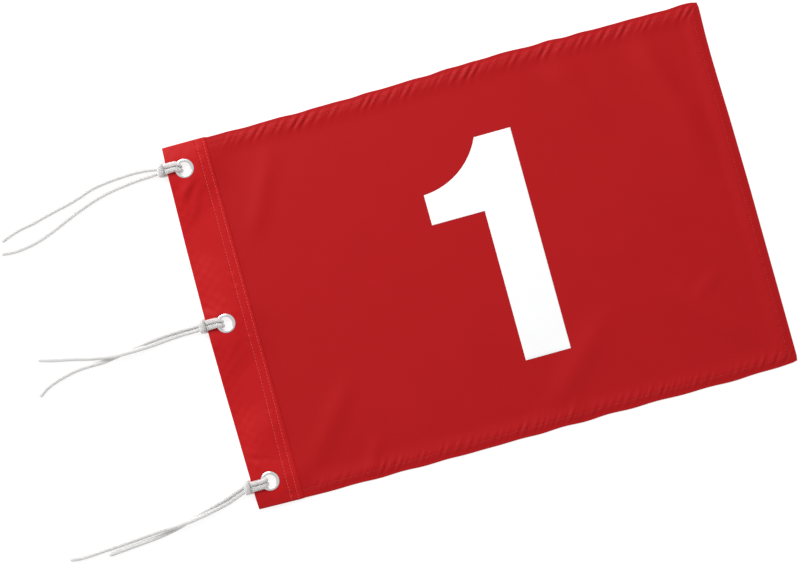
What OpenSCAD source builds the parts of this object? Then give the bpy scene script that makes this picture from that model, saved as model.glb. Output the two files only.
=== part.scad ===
// Golf pin flag with three hitched tie cords, lying face up.
// The origin is under the middle of the flag, +X runs from the hoist to the fly,
// +Y towards the top hem and +Z out of the front face. Sizes are in millimetres.

/* [Flag] */
// Length from the hoist fold to the fly edge
flag_length = 508; // [460:1:600]
// Height from the bottom hem to the top hem
flag_height = 340; // [320:1:400]
// Thickness of one layer of the nylon
cloth = 0.45; // [0.3:0.05:0.5]
// Width of the turned hems on three sides
hem_w = 9; // [7:0.5:14]
// How far each hem's stitching lies inside the edge
hem_seam_inset = 7.5; // [5:0.5:10]

/* [Heading] */
// Width of the doubled band at the hoist
heading_w = 44; // [40:0.5:52]
// Thickness of the heading with its tape inside
heading_t = 2; // [1.8:0.1:2.6]
// Height of the heading's underside, which lies on the tie cords
heading_z = 4.5; // [4.5:0.1:6]
// How far the cloth ramps before it lies flat
ramp_length = 46; // [30:1:80]
// How far the panel reaches into the heading
tongue = 14; // [12:0.5:16]
// Distances of the two seams from the heading's inner edge
heading_seams = [3, 9.5];

/* [Grommets] */
// Radius of the hole that the ties pass through
hole_r = 5.75; // [5.75:0.05:6.5]
// Outer radius of the front flange
flange_r = 8.5; // [8.4:0.05:9.5]
// Wall of the eyelet's barrel
barrel_wall = 0.45; // [0.3:0.05:0.5]
// Distances of the grommets from the hoist fold, from the top
grommet_insets = [18.5, 17.5, 18];

/* [Ties] */
// Diameter of the braided cord
cord_d = 3.8; // [3:0.1:3.8]
// Diameter where the hitch pulls it tight
hitch_d = 3.4; // [3:0.1:3.4]

/* [Numeral] */
// Height of the printed film
print_t = 0.2; // [0.1:0.05:0.3]

/* [Hidden] */

hoist_x = -flag_length / 2;
fly_x = flag_length / 2;
top_y = flag_height / 2;
heading_x = hoist_x + heading_w;
heading_top = heading_z + heading_t;
fold_gap = 0.3;            // clear slit between the heading and the fly at the fold
fly_start = heading_x + fold_gap;
hem_t = 2 * cloth;         // two turned layers behind the panel
tongue_z = heading_top - 2 * cloth;
seam_w = 0.8;
seam_t = 0.3;
grommet_x = [for (inset = grommet_insets) hoist_x + inset];
grommet_y = [147, 2, -146];     // upper, middle, lower
barrel_r = hole_r + barrel_wall;
flange_t = 0.75;
washer_t = 0.4;
washer_r = 8.3;
lip_t = 0.35;
cord_sides = 8;
ring_growth = 1.06;        // corner radius over cord radius, for a tube as thick as the cord

// Sideways drift of each hitch between its grommet and the hoist edge
hitch_drift = [3.9, 2.7, -0.8];

// One strand of a hitch, from the tail to the middle of the bight: the distance out from the
// grommet, the distance sideways from the hitch's middle, and the height
strand = [
    [23, 1.95, 5.9], [21, 1.95, 7.3], [19.3, 2, 8.3], [16, 2.1, 8.5], [12.5, 2.1, 8.7],
    [9.3, 2.1, 9.3], [6.2, 2, 9.3], [4.1, 1.95, 8.4], [3.1, 1.9, 6.6], [3.1, 1.9, 4.4],
    [4.1, 2, 2.5], [6.4, 2.2, 1.7], [10.5, 3.2, 1.7], [15, 4.9, 1.7], [19, 5.7, 2],
    [21, 5.8, 3.6], [21.4, 5.8, 6], [21.4, 5.6, 8.6], [21.2, 4.4, 10.4], [21.1, 2.2, 11]
];
bight = [21.1, 0, 11.1];

// Where each tail lies, from the hitch to its bare end
upper_top_route = [
    [-258.5, 152.85, 5.9], [-263, 153.8, 4.1], [-269.3, 154.8, 2.6], [-277.7, 155.4, 1.9],
    [-289, 155.3, 1.9], [-301, 154.6, 1.9], [-312, 153.4, 1.9], [-322, 151.6, 1.9],
    [-334, 147.6, 1.9], [-346, 144.2, 1.9], [-358, 141.6, 1.9], [-370, 138.7, 1.9],
    [-382, 135.7, 1.9], [-394, 133.6, 1.9], [-404, 130.6, 1.9], [-413, 127.2, 1.9]
];
upper_low_route = [
    [-258.5, 148.95, 5.9], [-263, 148.8, 4.1], [-269.3, 148.6, 2.6], [-277.7, 148.3, 1.9],
    [-289, 147.3, 1.9], [-300, 145.9, 1.9], [-311, 143.9, 1.9], [-322, 141.1, 1.9],
    [-333, 137.4, 1.9], [-345, 132.8, 1.9], [-357, 127.8, 1.9], [-369, 122.9, 1.9],
    [-381, 118.9, 1.9], [-393, 116.4, 1.9], [-405, 115.4, 1.9], [-416.5, 116.6, 1.9]
];
middle_top_route = [
    [-259.5, 6.65, 5.9], [-264, 6.6, 4.1], [-270, 6.5, 2.6], [-278, 6.5, 1.9],
    [-290, 6, 1.9], [-301, 5.1, 1.9], [-312, 3.8, 1.9], [-322, 2.2, 1.9],
    [-333, 0.4, 1.9], [-343, -1.2, 1.9], [-353, -2.4, 1.9], [-364, -2.5, 1.9],
    [-376, -2.9, 1.9], [-388, -5, 1.9], [-400, -8.3, 1.9], [-410, -12.6, 1.9], [-417, -17.6, 1.9]
];
middle_low_route = [
    [-259.5, 2.75, 5.9], [-264, 2.7, 4.1], [-270, 2.6, 2.6], [-278, 2.5, 1.9],
    [-288, 2, 1.9], [-298, 1.1, 2.1], [-308, 0.4, 3.2], [-318, 0, 4.9],
    [-328, -0.1, 5.9], [-338, 0, 5.9], [-347, 0.9, 5.1], [-356, 2.4, 3.5],
    [-366, 4.4, 2.1], [-377, 7.2, 1.9], [-388, 9.6, 1.9], [-399, 12.1, 1.9], [-410, 15.3, 1.9]
];
lower_top_route = [
    [-259, -144.85, 5.9], [-263.7, -146.2, 4.1], [-270, -148.4, 2.6], [-277, -150.9, 1.9],
    [-286, -153.4, 1.9], [-296, -156, 1.9], [-306, -158.7, 1.9], [-316, -161.6, 1.9],
    [-326, -164.8, 1.9], [-337, -167.1, 1.9], [-348, -168.6, 1.9], [-360, -169.7, 1.9],
    [-372, -170.7, 1.9], [-384, -171.7, 1.9], [-394.5, -172.5, 1.9]
];
lower_low_route = [
    [-259, -148.75, 5.9], [-263.7, -150.4, 4.1], [-270, -152.7, 2.6], [-277, -155.2, 2],
    [-286, -157.4, 2.7], [-296, -159.3, 4.2], [-306, -161, 5.5], [-316, -162.3, 5.9],
    [-327, -163.1, 5.9], [-338, -163.3, 5.3], [-349, -163.8, 3.8], [-360, -164.7, 2.4],
    [-372, -165.7, 1.9], [-385, -166.6, 1.9], [-398, -167.3, 1.9], [-411, -168.2, 1.9],
    [-422, -168.2, 1.9], [-430, -167, 1.9]
];

function unit(v) = v / norm(v);

// Direction of a route at point i; the ends take the direction given
function run_at(route, i, first, final) =
    i == 0 ? unit(first)
    : i == len(route) - 1 ? unit(final)
    : unit(unit(route[i + 1] - route[i]) + unit(route[i] - route[i - 1]));

function ring(centre, direction, side, r) =
    let (across = unit(side - (side * direction) * direction), up = cross(direction, across))
    [for (k = [0 : cord_sides - 1])
        let (a = 360 * (k + 0.5) / cord_sides)
        centre + r * ring_growth * (cos(a) * across + sin(a) * up)];

// The ring's sideways direction is carried along the route, so the tube never twists
function carried(route, first, final, i, side) =
    let (d = run_at(route, i, first, final), s = unit(side - (side * d) * d))
    i == len(route) - 1 ? [s] : concat([s], carried(route, first, final, i + 1, s));

module tube(route, r, first, final) {
    n = len(route);
    sides = carried(route, first, final, 0, [0, 1, 0]);
    points = [for (i = [0 : n - 1])
        each ring(route[i], run_at(route, i, first, final), sides[i], r)];
    walls = [for (i = [0 : n - 2], k = [0 : cord_sides - 1])
        let (a = i * cord_sides + k, b = i * cord_sides + (k + 1) % cord_sides)
        each [[a, b + cord_sides, b], [a, a + cord_sides, b + cord_sides]]];
    ends = [
        [for (k = [0 : cord_sides - 1]) k],
        [for (k = [cord_sides - 1 : -1 : 0]) (n - 1) * cord_sides + k]
    ];
    polyhedron(points = points, faces = concat(walls, ends));
}

// Height of the panel's underside: in the heading, down the ramp, then flat on its hems
function lift(x) =
    let (t = min(1, max(0, (x - fly_start) / ramp_length)))
    hem_t + (tongue_z - hem_t) * (1 + cos(180 * t)) / 2;

// Where a strip from x0 to x1 has its corners: its ends, and closely along the ramp
function stations(x0, x1) = concat(
    [x0],
    [for (k = [0 : 12]) let (x = fly_start + ramp_length * k / 12) if (x > x0 && x < x1) x],
    [x1]
);

// A strip that follows the panel from x0 to x1, between two heights above its underside
module draped(x0, x1, y0, y1, low, high) {
    xs = stations(x0, x1);
    profile = concat(
        [for (x = xs) [x, lift(x) + low]],
        [for (i = [len(xs) - 1 : -1 : 0]) [xs[i], lift(xs[i]) + high]]
    );
    translate([0, y1, 0])
        rotate([90, 0, 0])
            linear_extrude(height = y1 - y0)
                polygon(profile);
}

// Outline of the folded heading seen from its end, grown or shrunk by its wall
module heading_section(inset) {
    r = heading_t / 2 - inset;
    translate([hoist_x + heading_t / 2, heading_z + heading_t / 2]) circle(r, $fn = 48);
    translate([hoist_x + heading_t / 2, heading_z + inset])
        square([heading_w - heading_t / 2 + (inset > 0 ? 1 : 0), heading_t - 2 * inset]);
}

module across_flag(height) {
    translate([0, height / 2, 0])
        rotate([90, 0, 0])
            linear_extrude(height = height)
                children();
}

module grommet_holes(r) {
    for (i = [0 : 2])
        translate([grommet_x[i], grommet_y[i], heading_z - 1])
            cylinder(r = r, h = heading_t + 2, $fn = 64);
}

module heading_band() {
    color("#be2024")
        difference() {
            across_flag(flag_height)
                difference() {
                    heading_section(0);
                    heading_section(cloth);
                }
            grommet_holes(barrel_r + 0.05);
        }
}

module heading_tape() {
    low = heading_z + cloth;
    step_x = heading_x - tongue;
    color("#e8e4da")
        difference() {
            across_flag(flag_height - 4)
                polygon([
                    [hoist_x + heading_t, low], [heading_x - 1, low],
                    [heading_x - 1, tongue_z - 0.05], [step_x - 0.1, tongue_z - 0.05],
                    [step_x - 0.1, heading_top - cloth], [hoist_x + heading_t, heading_top - cloth]
                ]);
            grommet_holes(barrel_r + 0.05);
        }
}

// The part of the panel that is sewn inside the heading
module panel_tongue() {
    color("#b02026")
        translate([heading_x - tongue, -top_y, tongue_z])
            cube([tongue, flag_height, cloth]);
}

module heading_seam(distance) {
    color("#c8282c")
        translate([heading_x - distance - seam_w / 2, -top_y + 1, heading_top])
            cube([seam_w, flag_height - 2, seam_t]);
}

module eyelet(i) {
    crown_r = (hole_r + flange_r) / 2;
    crown_w = (flange_r - hole_r) / 2;
    color("#e6e7e8")
        translate([grommet_x[i], grommet_y[i], 0])
            rotate_extrude($fn = 96) {
                polygon([for (a = [0 : 15 : 180])
                    [crown_r + crown_w * cos(a), heading_top + flange_t * sin(a)]]);
                translate([hole_r, heading_z - washer_t - lip_t])
                    square([barrel_wall, heading_t + washer_t + lip_t]);
                translate([hole_r, heading_z - washer_t - lip_t]) square([1.6, lip_t]);
            }
}

module washer(i) {
    color("#d9dadc")
        translate([grommet_x[i], grommet_y[i], heading_z - washer_t])
            difference() {
                cylinder(r = washer_r, h = washer_t, $fn = 96);
                translate([0, 0, -1]) cylinder(r = barrel_r + 0.05, h = washer_t + 2, $fn = 96);
            }
}

module fly_panel() {
    color("#b02026") draped(fly_start, fly_x, -top_y, top_y, 0, cloth);
}

module long_hem(side) {
    y = side > 0 ? top_y - hem_w : -top_y;
    color("#a81c22") draped(fly_start, fly_x, y, y + hem_w, -hem_t, 0);
}

module fly_hem() {
    color("#a81c22")
        translate([fly_x - hem_w, -top_y + hem_w, 0])
            cube([hem_w, flag_height - 2 * hem_w, hem_t]);
}

module long_hem_seam(side) {
    y = side * (top_y - hem_seam_inset);
    color("#c8282c")
        draped(fly_start, fly_x - 1, y - seam_w / 2, y + seam_w / 2, cloth, cloth + seam_t);
}

module fly_hem_seam() {
    length = flag_height - 2 * hem_seam_inset - seam_w;
    color("#c8282c")
        translate([fly_x - hem_seam_inset - seam_w / 2, -length / 2, hem_t + cloth])
            cube([seam_w, length, seam_t]);
}

// The figure one: a square-ended stem and a flag whose upper edge is a hollow arc
module numeral_outline() {
    stem = [16.5, 58.5];
    foot_y = -102.5;
    head_y = 104.5;
    arm = [-33, 38];
    tip_y = 66;
    shoulder_x = 24.5;
    arc_r = 66;
    half_chord = norm([shoulder_x - arm[0], head_y - tip_y]) / 2;
    chord_a = atan2(head_y - tip_y, shoulder_x - arm[0]);
    middle = [(arm[0] + shoulder_x) / 2, (tip_y + head_y) / 2];
    centre = middle + sqrt(arc_r * arc_r - half_chord * half_chord) * [-sin(chord_a), cos(chord_a)];
    a0 = atan2(tip_y - centre[1], arm[0] - centre[0]);
    a1 = atan2(head_y - centre[1], shoulder_x - centre[0]);
    polygon(concat(
        [[stem[0], foot_y], [stem[1], foot_y], [stem[1], head_y]],
        [for (k = [12 : -1 : 0])
            let (a = a0 + (a1 - a0) * k / 12)
            centre + arc_r * [cos(a), sin(a)]],
        [arm, [stem[0], arm[1]]]
    ));
}

module numeral(z) {
    color("#fdfdfd")
        translate([0, 0, z])
            linear_extrude(height = print_t)
                numeral_outline();
}

module hitch(i) {
    function placed(p, side) = [
        grommet_x[i] - p[0],
        grommet_y[i] + side * p[1] + hitch_drift[i] * min(1, max(0, (p[0] - 5) / 12.5)),
        p[2]
    ];
    route = concat(
        [for (p = strand) placed(p, 1)],
        [placed(bight, 1)],
        [for (k = [len(strand) - 1 : -1 : 0]) placed(strand[k], -1)]
    );
    color("#ececea") tube(route, hitch_d / 2, [1, 0, 0], [-1, 0, 0]);
}

module tail(route) {
    n = len(route);
    color("#ececea") tube(route, cord_d / 2, [-1, 0, 0], route[n - 1] - route[n - 2]);
}

heading_band();
heading_tape();
panel_tongue();
heading_seam(heading_seams[1]);  // heading_outer_seam
heading_seam(heading_seams[0]);  // heading_inner_seam
eyelet(0);  // upper_eyelet
eyelet(1);  // middle_eyelet
eyelet(2);  // lower_eyelet
washer(0);  // upper_washer
washer(1);  // middle_washer
washer(2);  // lower_washer
fly_panel();
long_hem(1);  // top_hem
long_hem(-1);  // bottom_hem
fly_hem();
long_hem_seam(1);  // top_hem_seam
long_hem_seam(-1);  // bottom_hem_seam
fly_hem_seam();
numeral(hem_t + cloth);  // front_numeral
numeral(hem_t - print_t);  // back_numeral
hitch(0);  // upper_tie_hitch
tail(upper_top_route);  // upper_tie_top_tail
tail(upper_low_route);  // upper_tie_low_tail
hitch(1);  // middle_tie_hitch
tail(middle_top_route);  // middle_tie_top_tail
tail(middle_low_route);  // middle_tie_low_tail
hitch(2);  // lower_tie_hitch
tail(lower_top_route);  // lower_tie_top_tail
tail(lower_low_route);  // lower_tie_low_tail
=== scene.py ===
"""A golf pin flag lying on a pale floor, with three cords hitched through its grommets.

Flat cloth coordinates: s runs along the flag's length and t along its height, as X and Y do.
Every size is in metres; the lists written in millimetres pass through mm().
"""

import math

import bmesh
import bpy
import numpy as np
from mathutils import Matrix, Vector


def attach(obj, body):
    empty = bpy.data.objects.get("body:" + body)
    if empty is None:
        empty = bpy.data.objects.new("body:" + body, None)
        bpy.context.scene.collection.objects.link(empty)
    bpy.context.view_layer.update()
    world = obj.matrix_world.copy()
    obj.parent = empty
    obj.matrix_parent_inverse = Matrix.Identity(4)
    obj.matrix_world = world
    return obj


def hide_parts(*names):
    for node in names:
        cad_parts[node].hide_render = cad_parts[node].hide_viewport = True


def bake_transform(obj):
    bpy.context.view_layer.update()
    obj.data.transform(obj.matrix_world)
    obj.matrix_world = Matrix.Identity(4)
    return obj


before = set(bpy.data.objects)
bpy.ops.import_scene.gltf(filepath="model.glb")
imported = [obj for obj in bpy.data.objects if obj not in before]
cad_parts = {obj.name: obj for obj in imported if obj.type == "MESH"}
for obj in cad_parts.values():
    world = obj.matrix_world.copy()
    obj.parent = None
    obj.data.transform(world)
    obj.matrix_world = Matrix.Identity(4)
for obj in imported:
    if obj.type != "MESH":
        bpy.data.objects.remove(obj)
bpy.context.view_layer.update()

MM = 0.001
TAU = 2 * math.pi


def mm(values):
    """A list in millimetres, as an array in metres."""
    return np.array(values, float) * MM


# ---------------------------------------------------------------- sizes from the model

HOIST = -0.254
FLY = 0.254
TOP = 0.170
CLOTH = 0.00045
HEADING_EDGE = -0.210
PANEL_START = -0.2097
RAMP = 0.046
TONGUE = 0.014
HEM = 0.009
HEM_SEAM_INSET = 0.0075
HEADING_SEAMS = (0.003, 0.0095)
HIDDEN_START = -0.2139  # the fly cloth runs this far under the heading's skin
GROMMETS = {"upper": (-0.2355, 0.147), "middle": (-0.2365, 0.002), "lower": (-0.236, -0.146)}
HITCH_DRIFT = {"upper": 0.0039, "middle": 0.0027, "lower": -0.0008}

# Heights above or below the panel's middle surface
SKIN_TOP = 0.000675
SKIN_LOW = -0.001325
TAPE_TOP = 0.000225
TAPE_STEP = -0.000275
TAPE_LOW = -0.000875
HEM_LOW = -0.001125
HALF_CLOTH = CLOTH / 2

TONGUE_Z = 0.005825  # the panel's middle surface where the grommets hold the heading
HEM_Z = 0.001125  # the same surface where the hems lie on the floor
OPEN_Z = 0.00062  # and between the hems, where the single cloth sinks
HEADING_FLOOR_Z = 0.001345

STITCH_PITCH = 0.003
TOUCH_GAP = 0.00001  # layers that lie on each other are drawn this far apart


def linked_object(name, data):
    obj = bpy.data.objects.new(name, data)
    bpy.context.scene.collection.objects.link(obj)
    return obj


# ---------------------------------------------------------------- camera


def make_camera():
    data = bpy.data.cameras.new("camera")
    data.lens = 100
    data.sensor_width = 36
    camera = linked_object("camera", data)
    camera.location = (-0.0747, -0.0034, 2.015)
    camera.rotation_euler = (0, 0, math.radians(-15.41))
    bpy.context.scene.camera = camera
    bpy.context.scene.view_settings.view_transform = "Standard"


# ---------------------------------------------------------------- node helpers


class Graph:
    """A short way to write a node tree."""

    def __init__(self, tree):
        self.tree = tree

    def add(self, kind, links=None, values=None, **settings):
        node = self.tree.nodes.new(kind)
        for key, value in settings.items():
            setattr(node, key, value)
        for key, value in (values or {}).items():
            node.inputs[key].default_value = value
        for key, source in (links or {}).items():
            self.tree.links.new(source, node.inputs[key])
        return node

    def math(self, operation, a, b):
        node = self.add("ShaderNodeMath", operation=operation)
        for socket, value in zip(node.inputs, (a, b)):
            if isinstance(value, (int, float)):
                socket.default_value = value
            else:
                self.tree.links.new(value, socket)
        return node.outputs[0]


class Surface(Graph):
    """A material's node tree, round its one shader."""

    def __init__(self, name, **shader_values):
        self.material = bpy.data.materials.new(name)
        self.material.use_nodes = True
        super().__init__(self.material.node_tree)
        self.shader = self.tree.nodes["Principled BSDF"]
        for socket, value in shader_values.items():
            self.shader.inputs[socket.replace("_", " ")].default_value = value

    def link(self, source, socket):
        self.tree.links.new(source, self.shader.inputs[socket])

    def uv(self):
        return self.add("ShaderNodeUVMap", uv_map="UVMap").outputs["UV"]

    def place(self):
        return self.add("ShaderNodeTexCoord").outputs["Object"]

    def noise(self, where, scale, detail=3.0, roughness=0.55):
        node = self.add(
            "ShaderNodeTexNoise",
            {"Vector": where},
            {"Scale": scale, "Detail": detail, "Roughness": roughness},
        )
        return node.outputs["Fac"]

    def stripes(self, where, pitch, direction="X", distortion=0.0):
        node = self.add(
            "ShaderNodeTexWave",
            {"Vector": where},
            {"Scale": TAU / 20 / pitch, "Distortion": distortion, "Detail": 1.0},
            wave_type="BANDS",
            bands_direction=direction,
        )
        return node.outputs["Fac"]

    def spread(self, value, low, high):
        """Moves a 0 to 1 pattern to the range from low to high."""
        node = self.add("ShaderNodeMapRange", {"Value": value}, {"To Min": low, "To Max": high})
        return node.outputs["Result"]

    def tint(self, factor, low, high):
        node = self.add("ShaderNodeMix", data_type="RGBA")
        for socket, colour in zip([s for s in node.inputs if s.type == "RGBA"], (low, high)):
            socket.default_value = (*colour, 1)
        self.tree.links.new(factor, node.inputs["Factor"])
        return [s for s in node.outputs if s.type == "RGBA"][0]

    def bump(self, height, strength, distance):
        node = self.add(
            "ShaderNodeBump", {"Height": height}, {"Strength": strength, "Distance": distance}
        )
        self.link(node.outputs["Normal"], "Normal")

    def over_under(self, where, pitch):
        """Height of a plain weave: warp and weft threads, each crown standing over the other."""
        warp = self.stripes(where, pitch, "X", 0.12)
        weft = self.stripes(where, pitch, "Y", 0.12)
        return self.math("MAXIMUM", warp, self.math("MULTIPLY", weft, 0.9))


def woven(name, dark, light, pitch, roughness, bump, slubs, **values):
    """A woven cloth: its thread pattern, its slubs and a slow drift of colour. The colour is lighter on the
    threads' crowns and darker in the hollows between them, which is painted shade.
    """
    n = Surface(name, **values)
    uv = n.uv()
    weave = n.over_under(uv, pitch)
    slub = n.noise(uv, slubs, 4.0)
    # The slub noise is the cloth's own uneven colour. The weave's share darkens the hollows between
    # threads: painted shade.
    slub_tone_and_weave_shade = n.math("ADD", n.math("MULTIPLY", slub, 0.65), n.math("MULTIPLY", weave, 0.35))
    n.link(n.tint(slub_tone_and_weave_shade, dark, light), "Base Color")
    n.link(n.spread(n.noise(uv, slubs * 6), roughness - 0.06, roughness + 0.06), "Roughness")
    fine = n.math("ADD", weave, n.math("MULTIPLY", n.noise(uv, slubs * 30), 0.5))
    n.bump(fine, bump, 0.00006)
    return n.material


NYLON_PITCH = 0.0004
WEBBING_PITCH = 0.0016


def make_materials():
    satin = {
        "Specular_IOR_Level": 0.15,
        "Sheen_Weight": 0.04,
        "Sheen_Roughness": 0.45,
        "Sheen_Tint": (1.0, 0.55, 0.5, 1.0),
    }
    made = {}
    # The heading nylon is a lighter copy of the panel nylon: painted light, for the glow of the doubled
    # cloth over the white webbing inside it. The hem nylon is a slightly darker copy of the panel nylon:
    # painted shade.
    for name, dark, light, roughness, slubs in (
        ("panel nylon", (0.352, 0.0024, 0.0040), (0.392, 0.0038, 0.0056), 0.56, 26),
        ("heading nylon painted lighter", (0.405, 0.0034, 0.0050), (0.450, 0.0050, 0.0066), 0.54, 30),
        ("hem nylon painted darker", (0.345, 0.0024, 0.0040), (0.385, 0.0038, 0.0055), 0.56, 28),
    ):
        made[name] = woven(name, dark, light, NYLON_PITCH, roughness, 0.22, slubs, **satin)
    made["webbing"] = woven(
        "webbing", (0.60, 0.56, 0.47), (0.74, 0.70, 0.61), WEBBING_PITCH, 0.8, 0.9, 60,
        Specular_IOR_Level=0.2,
    )

    for name, dark, light in (
        ("heading thread", (0.47, 0.018, 0.022), (0.68, 0.065, 0.068)),
        ("hem thread", (0.38, 0.006, 0.008), (0.50, 0.018, 0.020)),
    ):
        n = Surface(name, Specular_IOR_Level=0.3)
        where = n.place()
        # The thread's colour is a lighter red than the cloth's. The twist's stripes, which also make its
        # bump, darken the hollows between the plies: painted shade.
        twist = n.stripes(where, 0.0005, "DIAGONAL", 1.0)
        n.link(n.tint(twist, dark, light), "Base Color")
        n.link(n.spread(n.noise(where, 900), 0.42, 0.56), "Roughness")
        n.bump(twist, 0.5, 0.00005)
        made[name] = n.material

    n = Surface("pressed metal", Metallic=1.0)
    where = n.place()
    wear = n.noise(where, 420, 5.0, 0.6)
    n.link(n.tint(wear, (0.85, 0.855, 0.87), (0.955, 0.957, 0.965)), "Base Color")
    n.link(n.spread(n.noise(where, 1500, 4.0), 0.16, 0.34), "Roughness")
    n.bump(n.noise(where, 2600, 3.0), 0.12, 0.00004)
    made["pressed metal"] = n.material

    n = Surface("white film", Specular_IOR_Level=0.3)
    uv = n.uv()
    weave = n.over_under(uv, NYLON_PITCH)
    cloud = n.noise(uv, 40, 4.0)
    n.link(n.tint(cloud, (0.84, 0.84, 0.845), (0.89, 0.89, 0.89)), "Base Color")
    n.link(n.spread(n.noise(uv, 160), 0.42, 0.56), "Roughness")
    n.bump(n.math("ADD", n.math("MULTIPLY", weave, 0.5), n.noise(uv, 700)), 0.2, 0.00005)
    made["white film"] = n.material

    n = Surface(
        "braided cord",
        Specular_IOR_Level=0.2,
        Subsurface_Weight=1.0,
        Subsurface_Radius=(1.0, 1.0, 1.0),
        Subsurface_Scale=0.0065,
    )
    uv = n.uv()
    groove_shade = n.add("ShaderNodeAttribute", attribute_name="groove_shade").outputs["Fac"]
    yarn = n.stripes(uv, 0.00032, "DIAGONAL", 0.6)
    fluff = n.noise(uv, 900, 4.0)
    yarn_shade_and_fluff = n.math("ADD", n.math("MULTIPLY", yarn, 0.25), n.math("MULTIPLY", fluff, 0.35))
    # Painted shade: the cord is coloured darker in the braid's grooves between crowns and in the hollows of
    # its yarn stripes. The fluff noise is the cord's own uneven colour.
    depth = n.math("SUBTRACT", n.math("ADD", 0.75, n.math("MULTIPLY", yarn_shade_and_fluff, 0.4)), groove_shade)
    n.link(n.tint(depth, (0.54, 0.535, 0.527), (0.60, 0.594, 0.586)), "Base Color")
    n.link(n.spread(fluff, 0.6, 0.8), "Roughness")
    n.bump(n.math("ADD", yarn, fluff), 0.35, 0.00008)
    made["braided cord"] = n.material

    n = Surface(
        "studio floor",
        Specular_IOR_Level=0.1,
        Roughness=0.9,
        Emission_Color=(1, 1, 1, 1),
        Emission_Strength=0.72,
    )
    grain = n.noise(n.place(), 14)
    n.link(n.tint(grain, (0.42, 0.42, 0.42), (0.46, 0.46, 0.46)), "Base Color")
    made["studio floor"] = n.material
    return made


# ---------------------------------------------------------------- mesh helpers


def mesh_object(name, points, faces, material, uv=None, smooth=True):
    """A mesh at the origin. uv holds one pair for each vertex."""
    data = bpy.data.meshes.new(name)
    data.from_pydata([tuple(p) for p in points], [], [tuple(f) for f in faces])
    if uv is not None:
        layer = data.uv_layers.new(name="UVMap")
        corner = np.empty(len(data.loops), np.int32)
        data.loops.foreach_get("vertex_index", corner)
        layer.data.foreach_set("uv", np.asarray(uv, np.float32)[corner].ravel())
    data.polygons.foreach_set("use_smooth", [smooth] * len(data.polygons))
    data.materials.append(material)
    data.validate()
    data.update()
    return linked_object(name, data)


def plain_object(name, points, edges, faces):
    """An object with no material, for helpers and for rows of points."""
    data = bpy.data.meshes.new(name)
    data.from_pydata([tuple(p) for p in points], edges, faces)
    return linked_object(name, data)


def square_corners(half):
    return [(-half, -half, 0), (half, -half, 0), (half, half, 0), (-half, half, 0)]


def tube_faces(rings, sides, joined=False):
    """Faces between rings of points, each ring closed on itself. joined: the last ring meets the first."""
    faces = []
    for r in range(rings if joined else rings - 1):
        a, b = r * sides, (r + 1) % rings * sides
        for k in range(sides):
            m = (k + 1) % sides
            faces.append([a + k, a + m, b + m, b + k])
    return faces


def grid_faces(rows, columns):
    return [
        [r * columns + c, r * columns + c + 1, (r + 1) * columns + c + 1, (r + 1) * columns + c]
        for r in range(rows - 1)
        for c in range(columns - 1)
    ]


def running_length(points):
    """How far along a line of points each one lies."""
    return np.concatenate([[0], np.cumsum(np.linalg.norm(np.diff(points, axis=0), axis=1))])


def bake_modifiers(obj):
    """Applies an object's modifiers, so that the piece is a plain mesh."""
    bpy.context.view_layer.update()
    graph = bpy.context.evaluated_depsgraph_get()
    data = bpy.data.meshes.new_from_object(obj.evaluated_get(graph), depsgraph=graph)
    obj.modifiers.clear()
    old = obj.data
    obj.data = data
    data.name = obj.name
    bpy.data.meshes.remove(old)


def finish_piece(obj, body, nodes=(), blended=False):
    if blended:
        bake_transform(obj)
    else:
        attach(obj, body)
    if nodes:
        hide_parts(*nodes)
    return obj


# ---------------------------------------------------------------- cords


def even_path(points, step):
    """A smooth line through points, with a point about every step of its length."""
    p = np.array(points, float)
    gap = np.linalg.norm(np.diff(p[:, :3], axis=0), axis=1)
    knot = np.concatenate([[0], np.cumsum(gap)])
    slope = np.gradient(p, knot, axis=0)
    fine = np.linspace(0, knot[-1], 24 * len(p))
    i = np.clip(np.searchsorted(knot, fine, side="right") - 1, 0, len(p) - 2)
    h = gap[i][:, None]
    f = (fine[:, None] - knot[i][:, None]) / h
    line = (
        (1 + 2 * f) * (1 - f) ** 2 * p[i]
        + f * (1 - f) ** 2 * h * slope[i]
        + f * f * (3 - 2 * f) * p[i + 1]
        + f * f * (f - 1) * h * slope[i + 1]
    )
    run = running_length(line[:, :3])
    marks = np.linspace(0, run[-1], int(round(run[-1] / step)) + 1)
    return np.stack([np.interp(marks, run, line[:, k]) for k in range(line.shape[1])], 1)


def braid_height(along, around, cell):
    """Crown height, 0 to 1, of a braid of eight strands each way."""
    p = 8 * around + along / cell
    q = 8 * around - along / cell
    across_p, across_q = np.sin(np.pi * (p % 1)), np.sin(np.pi * (q % 1))
    p_on_top = (np.floor(p) + np.floor(q)) % 2 == 0
    return np.where(p_on_top, across_p * across_q**0.35, across_q * across_p**0.35)


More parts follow.
